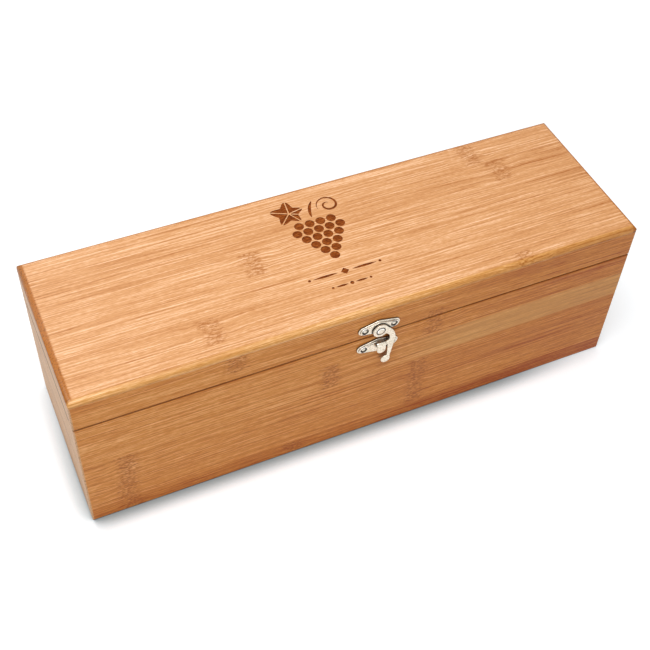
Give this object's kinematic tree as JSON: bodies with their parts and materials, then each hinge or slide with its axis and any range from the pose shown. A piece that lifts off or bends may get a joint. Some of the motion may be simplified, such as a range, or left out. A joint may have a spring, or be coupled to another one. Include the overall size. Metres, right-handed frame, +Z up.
{
  "type": "wooden wine box",
  "caption": "Long bamboo gift box for one wine bottle, with a hinged lid, a nickel swing-hook latch on the front and notched rests inside.",
  "frame": {"origin": "middle of the underside of the base, at the point where the box rests", "axes": "+X along the box's length, -Y out of the front with the latch, +Y towards the hinges, +Z up"},
  "size_m": [0.356, 0.1215, 0.115],
  "materials": {
    "front_bamboo": "satin lacquered caramel bamboo, strips along the board",
    "top_bamboo": "satin lacquered honey bamboo, strips along the board",
    "end_bamboo": "satin lacquered pale bamboo",
    "inner_bamboo": "plain sanded bamboo",
    "nickel_plate": "bright nickel plated sheet steel",
    "nickel_steel": "bright nickel plated steel"
  },
  "bodies": {
    "base": {"front_panel": "front_bamboo", "back_panel": "front_bamboo", "left_end_panel": "end_bamboo", "right_end_panel": "end_bamboo", "bottom_panel": "inner_bamboo", "body_rest": "inner_bamboo", "neck_rest": "inner_bamboo", "left_hinge_base_leaf": "nickel_plate", "right_hinge_base_leaf": "nickel_plate", "left_hinge_pin": "nickel_steel", "right_hinge_pin": "nickel_steel", "base_leaf_screws": "nickel_steel", "catch_plate": "nickel_plate", "catch_plate_nails": "nickel_steel"},
    "lid": {"lid_top_panel": "top_bamboo", "lid_front_rail": "front_bamboo", "lid_back_rail": "front_bamboo", "lid_left_rail": "end_bamboo", "lid_right_rail": "end_bamboo", "left_hinge_lid_leaf": "nickel_plate", "right_hinge_lid_leaf": "nickel_plate", "lid_leaf_screws": "nickel_steel", "latch_plate": "nickel_plate", "latch_plate_nails": "nickel_steel", "hook_rivet": "nickel_steel"},
    "hook": {"swing_hook": "nickel_plate"}
  },
  "joints": [
    {"name": "lid_hinge", "type": "hinge", "parent": "base", "child": "lid", "pos_m": [0, 0.05705, 0.091], "axis": [-1, 0, 0], "range_deg": [0, 97]},
    {"name": "hook_pivot", "type": "hinge", "parent": "lid", "child": "hook", "pos_m": [0.003, -0.05755, 0.0975], "axis": [0, -1, 0], "range_deg": [0, 100]}
  ]
}
